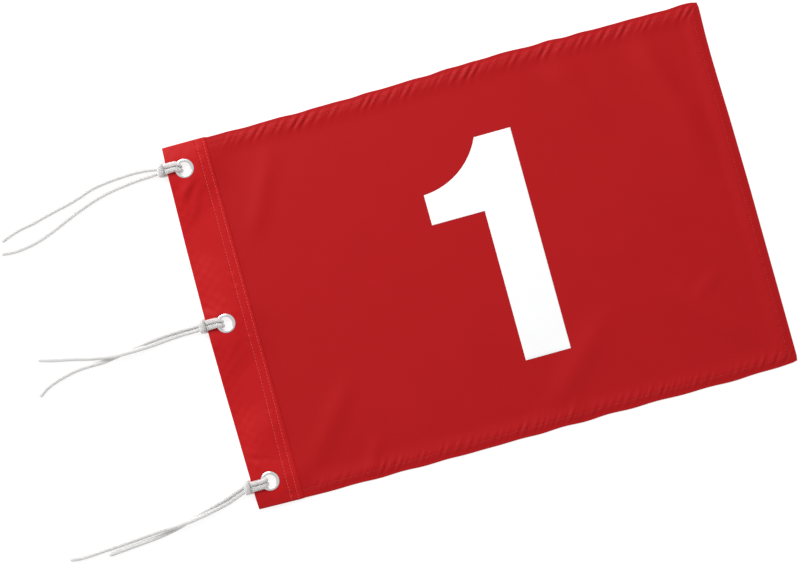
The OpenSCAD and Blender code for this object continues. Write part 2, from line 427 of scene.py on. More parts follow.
def braided_tube(name, line, width, height, material, bare_end=False):
    """A braided cord along line. Where it starts, its width lies along Y and its height across that."""
    sides, relief, cell, girth = 40, 0.00022, 0.0017, 0.012
    mean_crown, sealed = 0.62, 0.0018
    n = len(line)
    run = running_length(line)
    tangent = np.gradient(line, run, axis=0)
    tangent /= np.linalg.norm(tangent, axis=1)[:, None]
    across = np.zeros_like(line)
    vector = np.array([0.0, 1.0, 0.0])
    for i in range(n):
        vector = vector - vector.dot(tangent[i]) * tangent[i]
        vector /= np.linalg.norm(vector)
        across[i] = vector
    up = np.cross(tangent, across)
    around = np.arange(sides) / sides
    crown = braid_height(run[:, None], around[None, :], cell)
    pinch = np.ones(n)
    for wanted, distance in ((False, run), (bare_end, run[-1] - run)):
        reach = 0.0022 if wanted else 0.0002
        least = 0.45 if wanted else 0.97
        inside = np.clip(distance / reach, 0, 1)
        pinch *= least + (1 - least) * np.sqrt(1 - (1 - inside) ** 2)
        if wanted:
            crown = crown * np.clip(distance / sealed, 0.15, 1)[:, None]
    scale = pinch[:, None]
    half_w = width[:, None] / 2 * scale + relief * (crown - mean_crown)
    half_h = height[:, None] / 2 * scale + relief * (crown - mean_crown)
    cos, sin = np.cos(TAU * around), np.sin(TAU * around)
    points = (
        line[:, None, :]
        + (half_w * cos)[..., None] * across[:, None, :]
        + (half_h * sin)[..., None] * up[:, None, :]
    ).reshape(-1, 3)
    uv = np.stack(np.broadcast_arrays(run[:, None], around[None, :] * girth), -1).reshape(-1, 2)
    # Painted shade, read by the cord's material: darker where the braid's crowns fall away, and on the end
    # caps.
    groove_shade = (1 - crown).ravel()
    faces = tube_faces(n, sides)
    first, last = len(points), len(points) + 1
    points = np.vstack([points, line[0], line[-1]])
    uv = np.vstack([uv, [0, 0], [run[-1], 0]])
    groove_shade = np.append(groove_shade, [0.4, 0.4])
    base = (n - 1) * sides
    for k in range(sides):
        m = (k + 1) % sides
        faces.append((first, m, k))
        faces.append((last, base + k, base + m))
    obj = mesh_object(name, points, faces, material, uv)
    obj.data.attributes.new("groove_shade", "FLOAT", "POINT").data.foreach_set(
        "value", groove_shade.astype(np.float32)
    )
    return obj


# One strand of a hitch, from the tail to the middle of the bight: the distance out from the grommet,
# the distance sideways, the height, and the cord's width and thickness there, in millimetres
STRAND = [
    [23.6, 1.95, 5.5, 3.7, 3.7],
    [23, 1.95, 5.9, 3.75, 3.7],
    [21, 2.05, 7.2, 4.2, 3.3],
    [19.3, 2.15, 8.0, 4.7, 3.0],
    [16, 2.2, 8.1, 5.1, 2.8],
    [12.5, 2.22, 8.3, 5.15, 2.75],
    [9.3, 2.2, 8.8, 5.0, 2.8],
    [6.4, 2.1, 9.0, 4.8, 2.9],
    [4.3, 2.0, 8.3, 4.3, 3.1],
    [3.1, 1.95, 6.6, 3.8, 3.2],
    [3.1, 1.9, 4.4, 3.7, 3.3],
    [4.1, 2, 2.5, 3.8, 3.3],
    [6.4, 2.2, 1.7, 4.0, 3.2],
    [10.5, 3.2, 1.7, 4.2, 3.2],
    [15, 4.6, 1.7, 4.0, 3.2],
    [19.3, 5.2, 1.8, 3.4, 3.1],
    [21.3, 5.2, 3.5, 2.9, 3.6],
    [21.6, 5.1, 6, 2.8, 4.3],
    [21.5, 4.9, 8.2, 2.8, 5.2],
    [21.2, 4.0, 9.7, 2.8, 6.0],
    [21.0, 2.0, 10.3, 2.8, 6.3],
]
BIGHT = [21, 0, 10.4, 2.8, 6.3]

# Each tail's length, and where it lies in millimetres, from the hitch to its bare end. A point with no
# height lies on the floor
TAILS = {
    "upper_tie_top_tail": (0.158, [
        [-258.5, 152.85, 5.9], [-263, 153.8, 4.1], [-269.3, 154.8, 2.6], [-277.7, 155.4], [-289, 155.3],
        [-301, 154.6], [-312, 153.4], [-322, 151.6], [-334, 147.6], [-346, 144.2], [-358, 141.6],
        [-370, 138.7], [-382, 135.7], [-394, 133.6], [-404, 130.6], [-413, 127.2],
    ]),
    "upper_tie_low_tail": (0.162, [
        [-258.5, 148.95, 5.9], [-263, 148.8, 4.1], [-269.3, 148.6, 2.6], [-277.7, 148.3], [-289, 147.3],
        [-300, 145.9], [-311, 143.9], [-322, 141.1], [-333, 137.4], [-345, 132.8], [-357, 127.8],
        [-369, 122.9], [-381, 118.9], [-393, 116.4], [-405, 115.4], [-416.5, 116.6],
    ]),
    "middle_tie_top_tail": (0.163, [
        [-259.5, 6.65, 5.9], [-264, 6.6, 4.1], [-270, 6.5, 2.6], [-278, 6.5], [-290, 6], [-301, 5.1],
        [-312, 3.8], [-322, 2.2], [-333, 0.4], [-343, -1.2], [-353, -2.4], [-364, -2.5], [-376, -2.9],
        [-388, -5], [-400, -8.3], [-410, -12.6], [-417, -17.6],
    ]),
    "middle_tie_low_tail": (0.153, [
        [-259.5, 2.75, 5.9], [-264, 2.7, 4.1], [-270, 2.6, 2.6], [-278, 2.5], [-288, 2], [-298, 1.1, 2.1],
        [-308, 0.4, 3.2], [-318, 0, 4.9], [-328, -0.1, 5.9], [-338, 0, 5.9], [-347, 0.9, 5.1],
        [-356, 2.4, 3.5], [-366, 4.4, 2.1], [-377, 7.2], [-388, 9.6], [-399, 12.1], [-410, 15.3],
    ]),
    "lower_tie_top_tail": (0.139, [
        [-259, -144.85, 5.9], [-263.7, -146.2, 4.1], [-270, -148.4, 2.6], [-277, -150.9], [-286, -153.4],
        [-296, -156], [-306, -158.7], [-316, -161.6], [-326, -164.8], [-337, -167.1], [-348, -168.6],
        [-360, -169.7], [-372, -170.7], [-384, -171.7], [-394.5, -172.5],
    ]),
    "lower_tie_low_tail": (0.173, [
        [-259, -148.75, 5.9], [-263.7, -150.4, 4.1], [-270, -152.7, 2.6], [-277, -155.2, 2],
        [-286, -157.4, 2.7], [-296, -159.3, 4.2], [-306, -161, 5.5], [-316, -162.3, 5.9],
        [-327, -163.1, 5.9], [-338, -163.3, 5.3], [-349, -163.8, 3.8], [-360, -164.7, 2.4],
        [-372, -165.7], [-385, -166.6], [-398, -167.3], [-411, -168.2], [-422, -168.2], [-430, -167],
    ]),
}
LAID = 1.9  # height of a tail's middle where it lies on the floor, in millimetres
CORD_D = 0.0038
CROWNS_PROUD = 1.05  # a tail is drawn this much thicker, as its braid's crowns stand proud
RING_STEP = 0.00036


def make_hitch(tie, material):
    middle = np.array(GROMMETS[tie]) / MM
    drift_from, drift_over = 2.6, 4.2

    def placed(p, way):
        settled = min(1.0, max(0.0, (p[0] - drift_from) / drift_over))
        y = middle[1] + way * p[1] + HITCH_DRIFT[tie] / MM * settled
        return [middle[0] - p[0], y, p[2], p[3], p[4]]

    route = [placed(p, 1) for p in STRAND] + [placed(BIGHT, 1)]
    route += [placed(p, -1) for p in reversed(STRAND)]
    path = even_path(mm(route), RING_STEP)
    hitch = braided_tube(f"{tie}_tie_hitch_cord", path[:, :3], path[:, 3], path[:, 4], material)
    return finish_piece(hitch, f"{tie}_tie", [f"{tie}_tie_hitch"])


def make_tail(node, length, route, material, hitch):
    tie = node.split("_")[0]
    path = even_path(mm([(*p, LAID)[:3] for p in route]), RING_STEP)
    thick = np.full(len(path), CORD_D * CROWNS_PROUD)
    tail = braided_tube(f"{node}_cord", path, thick, thick, material, bare_end=True)
    finish_piece(tail, f"{tie}_tie", [node])


def make_cords(material):
    for tie in GROMMETS:
        hitch = make_hitch(tie, material)
        for which, holds in (("top", hitch), ("low", None)):
            node = f"{tie}_tie_{which}_tail"
            make_tail(node, *TAILS[node], material, holds)


# ---------------------------------------------------------------- the drape of the cloth

GRID_STEP = 0.00498
GRID_S = 103
GRID_T = 69
GRID_STEP_T = 2 * TOP / (GRID_T - 1)


def ease(x):
    x = np.clip(x, 0, 1)
    return x * x * (3 - 2 * x)


def panel_level(s):
    """Height of the panel's middle surface as the model has it: level, down a ramp, level."""
    down = (1 + np.cos(np.pi * np.clip((s - PANEL_START) / RAMP, 0, 1))) / 2
    return HEM_Z + (TONGUE_Z - HEM_Z) * down


def rest_level(s, t):
    """The lowest that the middle surface can lie, with what is sewn under it on the floor."""
    hem_reach, hem_fade = 0.0085, 0.009
    inside = np.minimum(TOP - np.abs(t), FLY - s)
    hem = 1 - ease((inside - hem_reach) / hem_fade)
    level = OPEN_Z + (HEM_Z - OPEN_Z) * hem
    heading = 1 - ease((s - HEADING_EDGE + 0.001) / 0.006)
    return level + (HEADING_FLOOR_Z - level) * heading


def grommet_distance(s, t):
    return np.min([np.hypot(s - x, t - y) for x, y in GROMMETS.values()], axis=0)


def swell(s, t, seed, waves, longest, shortest):
    """A seeded sum of plane waves in many directions, about -1 to 1."""
    rng = np.random.default_rng(seed)
    total = np.zeros(np.broadcast(s, t).shape)
    for _ in range(waves):
        heading, phase = rng.uniform(0, TAU, 2)
        length = rng.uniform(shortest, longest)
        total += np.sin(TAU * (s * math.cos(heading) + t * math.sin(heading)) / length + phase)
    return total / math.sqrt(waves)


def ripple(x, seed, waves, longest, shortest):
    """A seeded sum of waves along one line, about -1 to 1."""
    rng = np.random.default_rng(seed)
    total = np.zeros(np.shape(x))
    for _ in range(waves):
        length, phase = rng.uniform(shortest, longest), rng.uniform(0, TAU)
        total += np.sin(TAU * x / length + phase)
    return total / math.sqrt(waves)


def simulated_cloth(s, t, z):
    """Lets the whole sheet fall on the floor with its grommets held, and returns where it comes to rest."""
    scale, frames, held_radius = 10.0, 45, 0.0125
    rows, columns = s.shape
    points = np.stack([s, t, z], -1).reshape(-1, 3) * scale
    sheet = plain_object("falling sheet", points, [], grid_faces(rows, columns))
    held = sheet.vertex_groups.new(name="held")
    stiff = sheet.vertex_groups.new(name="stiff")
    drawn = sheet.vertex_groups.new(name="drawn")
    fs, ft = s.ravel(), t.ravel()
    near = grommet_distance(fs, ft)
    edge = np.minimum(TOP - np.abs(ft), FLY - fs)
    for i in range(len(fs)):
        if near[i] < held_radius:
            held.add([i], 1.0, "REPLACE")
        stiff.add([i], float(1 - ease((fs[i] - HEADING_EDGE + 0.004) / 0.008)), "REPLACE")
        drawn.add([i], float(1 - ease((edge[i] - 0.004) / 0.008)), "REPLACE")
    cloth = sheet.modifiers.new("cloth", "CLOTH")
    settings = cloth.settings
    settings.quality = 8
    settings.mass = 0.25
    settings.air_damping = 3.0
    settings.tension_stiffness = settings.compression_stiffness = 60
    settings.shear_stiffness = 25
    settings.bending_model = "ANGULAR"
    settings.bending_stiffness = 4.0
    settings.bending_stiffness_max = 60
    settings.vertex_group_bending = "stiff"
    settings.vertex_group_mass = "held"
    settings.pin_stiffness = 50
    settings.vertex_group_shrink = "drawn"
    settings.shrink_min = 0.0
    settings.shrink_max = 0.004
    cloth.collision_settings.use_collision = True
    cloth.collision_settings.distance_min = 0.006
    cloth.collision_settings.collision_quality = 3
    floor = plain_object("catching floor", square_corners(4.0), [], [(0, 1, 2, 3)])
    floor.modifiers.new("collision", "COLLISION")
    floor.collision.thickness_outer = 0.004
    cloth.point_cache.frame_end = frames
    scene = bpy.context.scene
    for number in range(1, frames + 1):
        scene.frame_set(number)
    graph = bpy.context.evaluated_depsgraph_get()
    result = sheet.evaluated_get(graph).to_mesh()
    found = np.empty(len(result.vertices) * 3)
    result.vertices.foreach_get("co", found)
    sheet.evaluated_get(graph).to_mesh_clear()
    for obj in (sheet, floor):
        bpy.data.objects.remove(obj)
    scene.frame_set(1)
    return found.reshape(rows, columns, 3) / scale


def cloth_grid():
    """Where each crossing of a flat grid on the cloth lies, from the simulation."""
    s, t = np.meshgrid(HOIST + GRID_STEP * np.arange(GRID_S), -TOP + GRID_STEP_T * np.arange(GRID_T))
    most_drawn, drawn_back = 0.003, 0.7
    slack = ease((grommet_distance(s, t) - 0.012) / 0.03)
    panel = ease((s - HEADING_EDGE) / 0.05)
    z = panel_level(s) + 0.0006 * panel
    z = z + slack * panel * 0.0020 * swell(s, t, 11, 9, 0.21, 0.09)
    z = z + slack * (1 - panel) * 0.0005 * swell(s, t, 5, 6, 0.12, 0.05)
    grid = simulated_cloth(s, t, z)
    for axis, flat in ((0, s), (1, t)):
        grid[..., axis] += np.clip(flat - grid[..., axis], -most_drawn, most_drawn) * drawn_back
    return softened(grid, s, t)


def softened(grid, s, t):
    """Takes the sharp ridges out of the loose cloth, as its finish does, and leaves what is held."""
    passes = 6
    loose = ease((grommet_distance(s, t) - 0.012) / 0.02) * ease((s - HEADING_EDGE + 0.03) / 0.03)
    loose = loose[..., None]
    for _ in range(passes):
        padded = np.pad(grid, ((1, 1), (1, 1), (0, 0)), "reflect", reflect_type="odd")
        mean = (padded[:-2, 1:-1] + padded[2:, 1:-1] + padded[1:-1, :-2] + padded[1:-1, 2:]) / 4
        grid = grid + 0.5 * loose * (mean - grid)
    return grid


def cubic_weights(f):
    return (
        -0.5 * f + f * f - 0.5 * f**3,
        1 - 2.5 * f * f + 1.5 * f**3,
        0.5 * f + 2 * f * f - 1.5 * f**3,
        -0.5 * f * f + 0.5 * f**3,
    )


# How far the outline strays from a true rectangle: positions along an edge and the shift, in millimetres
HOIST_BOW = ([-170, -120, -60, -15, 30, 80, 120, 147, 170], [1.4, 0.9, -0.2, -0.3, 0.0, 0.6, 1.6, 2.4, 3.4])
FLY_BOW = ([-170, -100, 0, 60, 110, 135, 170], [0.2, 0.0, -0.4, -1.2, -2.4, -2.5, -1.4])
TOP_BOW = ([-254, -200, -100, -20, 50, 90, 160, 254], [0.2, -1.0, -1.3, -0.2, 1.6, 1.4, 0.3, 0.1])
LOW_BOW = ([-254, -200, -60, 100, 200, 254], [1.5, 0.4, -0.4, 0.2, -0.6, 1.2])
CORNER_REACH = 0.006
CORNER_LOSS = 0.0007
# Creases: start, end, half-width and height, in millimetres
CREASES = [
    ([-231, 137], [-249, 118], 3.2, 0.9),
    ([-226, 139], [-244, 106], 3.6, -0.7),
    ([-224, 143], [-216, 118], 3.0, 0.5),
    ([-229, -134], [-247, -112], 3.4, 0.6),
    ([-228, 14], [-246, 38], 3.4, 0.45),
    ([-229, -10], [-247, -36], 3.6, 0.45),
    ([-253, -120], [-222, -131], 3.2, -0.7),
    ([-254, 25], [-242, 11], 2.8, -0.6),
    ([-222, 128], [-236, 96], 3.6, -0.5),
    ([-246, 60], [-222, 20], 5.0, 0.5),
    ([176, -92], [214, -66], 6.0, 0.7),
    ([-150, -168], [-128, -128], 6.0, 0.8),
    ([112, 167], [140, 116], 7.0, 0.6),
    ([40, -168], [58, -140], 5.0, 0.6),
    ([186, 168], [236, 10], 13.0, 2.8),
    ([100, 160], [150, 70], 12.0, 1.5),
    ([-196, 60], [-150, 160], 9.0, 1.2),
    ([-200, -150], [-130, -60], 10.0, 1.4),
    ([20, -160], [110, -70], 12.0, 1.5),
    ([225, -150], [150, -60], 11.0, 1.6),
    ([-253, -102], [-205, -98], 18.0, 2.2),
]


def bowed(table, along):
    """A smooth line through an edge's shifts."""
    places, shifts = mm(table[0]), mm(table[1])
    fine = np.linspace(places[0], places[-1], 121)
    line = np.interp(fine, places, shifts)
    kernel = np.hanning(15)
    line = np.convolve(np.pad(line, 7, "edge"), kernel / kernel.sum(), "valid")
    return np.interp(along, fine, line)


class Drape:
    """The panel's middle surface, and whatever lies at a set height above or below it."""

    def __init__(self, grid):
        # One more ring of points round the grid carries its edge straight on
        self.grid = np.pad(grid, ((1, 1), (1, 1), (0, 0)), "edge")
        self.grid[:, 0, 0] -= GRID_STEP
        self.grid[:, -1, 0] += GRID_STEP
        self.grid[0, :, 1] -= GRID_STEP_T
        self.grid[-1, :, 1] += GRID_STEP_T

    def base(self, s, t):
        u = (s - HOIST) / GRID_STEP
        v = (t + TOP) / GRID_STEP_T
        i = np.clip(np.floor(u).astype(int), 0, GRID_S - 2)
        j = np.clip(np.floor(v).astype(int), 0, GRID_T - 2)
        wu, wv = cubic_weights(u - i), cubic_weights(v - j)
        point = np.zeros(s.shape + (3,))
        for a in range(4):
            row = sum(wu[b][..., None] * self.grid[j + a, i + b] for b in range(4))
            point += wv[a][..., None] * row
        return point

    def puckers(self, s, t):
        """Small gathers that the sewing draws up beside the seams."""
        from_top, from_low, from_fly = TOP - t, TOP + t, FLY - s
        panel = ease((s - HEADING_EDGE - 0.004) / 0.02)
        inside = np.minimum(np.minimum(from_top, from_low), from_fly)
        roll = 0.0010
        middle, width, row_width = 0.0080, 0.0058, 0.0030
        height = roll * panel * ease(inside / 0.0078) * (1 - ease((inside - 0.008) / 0.013))
        for distance, along, seed, strength, lean in (
            (from_top, s, 21, 0.00046, 0.9),
            (from_low, s, 22, 0.00034, -0.7),
            (from_fly, t, 23, 0.00020, 0.6),
        ):
            wave = ripple(along + lean * distance, seed, 6, 0.0115, 0.0050)
            patch = np.clip(0.85 + 0.35 * ripple(along, seed + 40, 3, 0.12, 0.05), 0.5, 1.2)
            fade = np.exp(-(((distance - middle) / width) ** 2))
            height += strength * wave * patch * fade * panel
        for inset, seed in zip(HEADING_SEAMS, (31, 32)):
            row = s + heading_row_drift(t) - (HEADING_EDGE - inset)
            wave = ripple(t + 0.5 * row, seed, 5, 0.012, 0.0055)
            patch = np.clip(0.65 + 0.5 * ripple(t, seed + 9, 3, 0.06, 0.025), 0.15, 1.3)
            height += 0.00024 * wave * patch * np.exp(-((row / row_width) ** 2))
        return height

    def creases(self, s, t):
        height = np.zeros(s.shape)
        for start, end, half_width, rise in CREASES:
            a, b = mm(start), mm(end)
            d = b - a
            along = ((s - a[0]) * d[0] + (t - a[1]) * d[1]) / d.dot(d)
            off = ((s - a[0]) * d[1] - (t - a[1]) * d[0]) / np.linalg.norm(d)
            reach = ease(along / 0.3) * ease((1 - along) / 0.45)
            height += rise * MM * reach * np.exp(-((off / (half_width * MM)) ** 2))
        return height

    def at(self, s, t):
        point = self.base(s, t)
        loose = ease((grommet_distance(s, t) - 0.0105) / 0.008)
        heading = 1 - ease((s - HEADING_EDGE + 0.002) / 0.004)
        point[..., 2] += loose * (self.puckers(s, t) + self.creases(s, t))
        low = rest_level(s, t)
        over = point[..., 2] - low
        soft = 0.0003
        point[..., 2] = low + np.where(over > soft, over, soft * np.exp(np.minimum(over / soft - 1, 0)))
        hoist_from, hoist_over = -0.238, 0.014
        fly_from, fly_over = 0.13, 0.124
        edge_from, edge_over = 0.08, 0.09
        point[..., 0] += bowed(HOIST_BOW, t) * ease((hoist_from - s) / hoist_over)
        point[..., 0] += bowed(FLY_BOW, t) * ease((s - fly_from) / fly_over)
        point[..., 1] += bowed(TOP_BOW, s) * ease((t - edge_from) / edge_over) * (1 - heading)
        point[..., 1] += bowed(LOW_BOW, s) * ease((-t - edge_from) / edge_over) * (1 - heading)
        point[..., 1] += heading * bowed(LOW_BOW, s) * ease((-t - 0.152) / 0.018)
        for side, seed in ((t, 61), (-t, 62)):
            scallop = 0.00028 * ripple(s, seed, 6, 0.055, 0.018)
            point[..., 1] += np.sign(t) * scallop * ease((side - 0.155) / 0.015) * (1 - heading)
        # The corners at the fly are blunt
        corner = ease(1 - np.hypot(FLY - s, TOP - np.abs(t)) / CORNER_REACH)
        point[..., 0] -= CORNER_LOSS * corner
        point[..., 1] -= CORNER_LOSS * corner * np.sign(t)
        return point

    def lay(self, s, t, height):
        """Points at a height above the middle surface, square to it."""
        s, t = np.asarray(s, float), np.asarray(t, float)
        beside = 0.0007
        along = self.at(s + beside, t) - self.at(s - beside, t)
        across = self.at(s, t + beside) - self.at(s, t - beside)
        normal = np.cross(along, across)
        normal /= np.linalg.norm(normal, axis=-1)[..., None]
        return self.at(s, t) + np.asarray(height)[..., None] * normal


# ---------------------------------------------------------------- layers of cloth


def heading_row_drift(t):
    """How far the heading's two rows of stitching wander towards the hoist, low on the flag."""
    return 0.0020 * ease((-0.03 - t) / 0.12)


def seam_dimple(s, t, rows):
    """How far the stitching draws a face in, near its rows. Each row is an axis and a place."""
    deepest, width = 0.00026, 0.0009
    depth = np.zeros(np.broadcast(s, t).shape)
    for axis, place in rows:
        if axis == "heading":
            off, along = s + heading_row_drift(t) - place, t
        else:
            off, along = ((s, t) if axis == "s" else (t, s))
            off = off - place
        pull = 0.75 + 0.25 * np.cos(TAU * along / STITCH_PITCH)
        depth = depth + deepest * pull * np.exp(-((off / width) ** 2))
    return depth


def rim_edges(faces):
    """Directed edges of a flat mesh's rim: each vertex and the next one round, anticlockwise."""
    edges = {}
    for face in faces:
        for a, b in zip(face, face[1:] + face[:1]):
            if edges.pop((b, a), None) is None:
                edges[(a, b)] = True
    return list(edges)


def layer(name, drape, flat, faces, top, low, material, dimples=()):
    """A closed layer of cloth over a flat mesh, between two heights, with a rounded rim.
    The flat mesh stops short of the finished edge by half the layer's thickness."""
    s, t = flat[:, 0], flat[:, 1]
    count = len(flat)
    top, low = np.broadcast_to(top, count).copy(), np.broadcast_to(low, count).copy()
    dent = seam_dimple(s, t, dimples)
    upper = drape.lay(s, t, top - dent)
    under = drape.lay(s, t, low + np.minimum(dent, (top - low) * 0.2))
    out = np.zeros((count, 2))
    following = {}
    for a, b in rim_edges(faces):
        d = flat[b] - flat[a]
        side = np.array([d[1], -d[0]]) / np.linalg.norm(d)
        out[a] += side
        out[b] += side
        following[a] = b
    rim = np.array(sorted(following), int)
    out[rim] /= np.linalg.norm(out[rim], axis=1)[:, None]
    position = {v: k for k, v in enumerate(rim)}
    half = (top - low)[rim] / 2
    middle = (top + low)[rim] / 2
    rings, ring_uv = [], []
    for angle in (50, 0, -50):
        a = math.radians(angle)
        reach = half * math.cos(a)
        rs, rt = s[rim] + out[rim, 0] * reach, t[rim] + out[rim, 1] * reach
        rings.append(drape.lay(rs, rt, middle + half * math.sin(a)))
        ring_uv.append(np.stack([rs, rt], 1))
    points = np.vstack([upper, under] + rings)
    uv = np.vstack([flat, flat + [0.5, 0]] + ring_uv)
    polygons = [list(f) for f in faces] + [[count + v for v in reversed(f)] for f in faces]
    starts = [2 * count + k * len(rim) for k in range(3)]
    for a, b in following.items():
        ka, kb = position[a], position[b]
        chain_a = [a] + [start + ka for start in starts] + [count + a]
        chain_b = [b] + [start + kb for start in starts] + [count + b]
        for k in range(4):
            polygons.append([chain_b[k], chain_a[k], chain_a[k + 1], chain_b[k + 1]])
    return mesh_object(name, points, polygons, material, uv)


def flat_grid(s_values, t_values):
    s, t = np.meshgrid(s_values, t_values)
    return np.stack([s.ravel(), t.ravel()], 1), grid_faces(len(t_values), len(s_values))


def stations(low, high, coarse, fine=(), close=0.0005, reach=0.002):
    """Places from low to high, coarse apart, and closer beside the places named in fine."""
    marks = [low]
    while marks[-1] < high - 1e-9:
        here = marks[-1]
        near = min([abs(here - f) for f in fine] or [1.0])
        marks.append(here + (close if near < reach else coarse))
    marks = np.array(marks)
    return low + (marks - low) * (high - low) / (marks[-1] - low)


EDGE_SEAM_T = TOP - HEM_SEAM_INSET
EDGE_SEAM_S = FLY - HEM_SEAM_INSET
PANEL_ROWS = [("t", EDGE_SEAM_T), ("t", -EDGE_SEAM_T), ("s", EDGE_SEAM_S)]
# Where the cloth's cells change size: just past the ramp's foot, and inside the fly hem
RAMP_FOOT = -0.160
NEAR_FLY = FLY - 0.012
HEM_PROUD = 0.00012  # the hems' turned edges stand this far past the panel's own rim


def edge_stations(low, high, coarse, inside):
    """Places from low to high that are close together within a distance of either end."""
    ends = stations(0, inside, 0.0009)
    middle = stations(low + inside, high - inside, coarse)
    return np.concatenate([low + ends[:-1], middle, high - ends[::-1][1:]])


def make_panel(drape, made):
    r = HALF_CLOTH
    s = np.concatenate([
        stations(HIDDEN_START + r, RAMP_FOOT, 0.0014),
        stations(RAMP_FOOT, NEAR_FLY, 0.00135)[1:],
        stations(NEAR_FLY, FLY - r, 0.001)[1:],
    ])
    t = edge_stations(-TOP + r, TOP - r, 0.0036, 0.0135)
    flat, faces = flat_grid(s, t)
    panel = layer("fly_cloth", drape, flat, faces, r - TOUCH_GAP, -r, made["panel nylon"], PANEL_ROWS)
    finish_piece(panel, "fly", ["fly_panel"], blended=True)

    s = stations(HEADING_EDGE - TONGUE + r, HIDDEN_START - 0.0001 - r, 0.002)
    flat, faces = flat_grid(s, stations(-TOP + 0.0006, TOP - 0.0006, 0.003))
    tongue = layer("panel_tongue_cloth", drape, flat, faces, r, -r, made["panel nylon"])
    finish_piece(tongue, "heading", ["panel_tongue"])
    return panel, tongue


def make_hems(drape, made):
    half = (-HALF_CLOTH - HEM_LOW) / 2
    low, top = HEM_LOW, -HALF_CLOTH - TOUCH_GAP
    pieces = []
    for name, way in (("top_hem", 1), ("bottom_hem", -1)):
        s = np.concatenate([
            stations(PANEL_START + half, RAMP_FOOT, 0.0014),
            stations(RAMP_FOOT, FLY - half + HEM_PROUD, 0.0015)[1:],
        ])
        bounds = sorted([way * (TOP - HEM + half), way * (TOP - half + HEM_PROUD)])
        flat, faces = flat_grid(s, stations(*bounds, 0.0009))
        hem = layer(f"{name}_cloth", drape, flat, faces, top, low, made["hem nylon painted darker"])
        pieces.append(finish_piece(hem, "fly", [name], blended=True))
    s = stations(FLY - HEM + half, FLY - half + HEM_PROUD, 0.0009)
    reach = TOP - HEM - half - 0.00005
    flat, faces = flat_grid(s, stations(-reach, reach, 0.0026))
    hem = layer("fly_hem_cloth", drape, flat, faces, top, low, made["hem nylon painted darker"])
    pieces.append(finish_piece(hem, "fly", ["fly_hem"]))
    return pieces


def heading_outline():
    """The folded band's section as (s, height) points, round the outside and back round the inside."""
    fold_r = (SKIN_TOP - SKIN_LOW) / 2
    centre = (HOIST + fold_r, (SKIN_TOP + SKIN_LOW) / 2)
    rows = [HEADING_EDGE - d - 0.001 for d in HEADING_SEAMS]
    flat_part = stations(centre[0], HEADING_EDGE - 0.0002, 0.0016, rows, 0.0006, 0.0028)

    def side(height, reverse):
        run = flat_part[::-1] if reverse else flat_part
        return [(s, height) for s in run]

    def fold(radius, angles):
        return [
            (centre[0] + radius * math.cos(math.radians(a)), centre[1] + radius * math.sin(math.radians(a)))
            for a in angles
        ]

    turn = range(105, 270, 15)
    outer = side(SKIN_TOP, True) + fold(fold_r, turn) + side(SKIN_LOW, False)
    inner_r = fold_r - CLOTH
    inner = side(SKIN_LOW + CLOTH, True) + fold(inner_r, reversed(turn)) + side(SKIN_TOP - CLOTH, False)
    low_lip = [(HEADING_EDGE, SKIN_LOW + CLOTH / 2)]
    top_lip = [(HEADING_EDGE, SKIN_TOP - CLOTH * 0.8)]
    outline = np.array(outer + low_lip + inner + top_lip)
    # The pressed edge is thinner than the rest of the skin
    pressed_width, pressed_loss = 0.0016, 0.00024
    pressed = np.clip((outline[:, 0] - (HEADING_EDGE - pressed_width)) / pressed_width, 0, 1) ** 2
    outline[:, 1] -= np.where(outline[:, 1] > SKIN_TOP - CLOTH / 2, pressed_loss * pressed, 0)
    return outline


def make_heading(drape, made):
    outline = heading_outline()
    t = stations(-TOP, TOP, 0.0015)
    n = len(outline)
    s_all = np.tile(outline[:, 0], len(t))
    t_all = np.repeat(t, n)
    height = np.tile(outline[:, 1], len(t))
    dent = seam_dimple(s_all, t_all, [("heading", HEADING_EDGE - d) for d in HEADING_SEAMS])
    middle = (SKIN_TOP + SKIN_LOW) / 2
    outside = np.where(np.abs(height - middle) > 0.0009, np.sign(height - middle), 0)
    points = drape.lay(s_all, t_all, height - outside * dent)
    faces = tube_faces(len(t), n)
    # The cut ends of the band: one strip across the cloth's thickness
    outer_count = (n - 2) // 2
    for base, flip in ((0, True), ((len(t) - 1) * n, False)):
        for k in range(outer_count - 1):
            strip = [base + k, base + k + 1, base + n - 3 - k, base + n - 2 - k]
            faces.append(strip if flip else strip[::-1])
        for tip in (
            [base + outer_count - 1, base + outer_count, base + outer_count + 1],
            [base + n - 2, base + n - 1, base],
        ):
            faces.append(tip if flip else tip[::-1])
    uv = np.stack([np.tile(running_length(outline), len(t)), t_all], 1)
    band = mesh_object("heading_cloth", points, faces, made["heading nylon painted lighter"], uv)
    face_outwards(band)

    tape_flat, tape_faces = flat_grid(
        np.concatenate([
            stations(HOIST + 0.0026, HEADING_EDGE - TONGUE - 0.0003, 0.002),
            stations(HEADING_EDGE - TONGUE + 0.0002, HEADING_EDGE - 0.0015, 0.002),
        ]),
        stations(-TOP + 0.002, TOP - 0.002, 0.003),
    )
    top = np.where(tape_flat[:, 0] < HEADING_EDGE - TONGUE, TAPE_TOP - TOUCH_GAP, TAPE_STEP)
    low = TAPE_LOW + TOUCH_GAP
    tape = layer("heading_webbing", drape, tape_flat, tape_faces, top, low, made["webbing"])
    cutters = [grommet_cutter(*middle) for middle in GROMMETS.values()]
    for piece in (band, tape):
        for cutter in cutters:
            cut = piece.modifiers.new("hole", "BOOLEAN")
            cut.operation, cut.solver, cut.object = "DIFFERENCE", "EXACT", cutter
        bake_modifiers(piece)
    for cutter in cutters:
        bpy.data.objects.remove(cutter)
    finish_piece(band, "heading", ["heading_band"])
    finish_piece(tape, "heading", ["heading_tape"])


def face_outwards(obj):
    bm = bmesh.new()
    bm.from_mesh(obj.data)
    bmesh.ops.recalc_face_normals(bm, faces=bm.faces)
    bm.to_mesh(obj.data)
    bm.free()


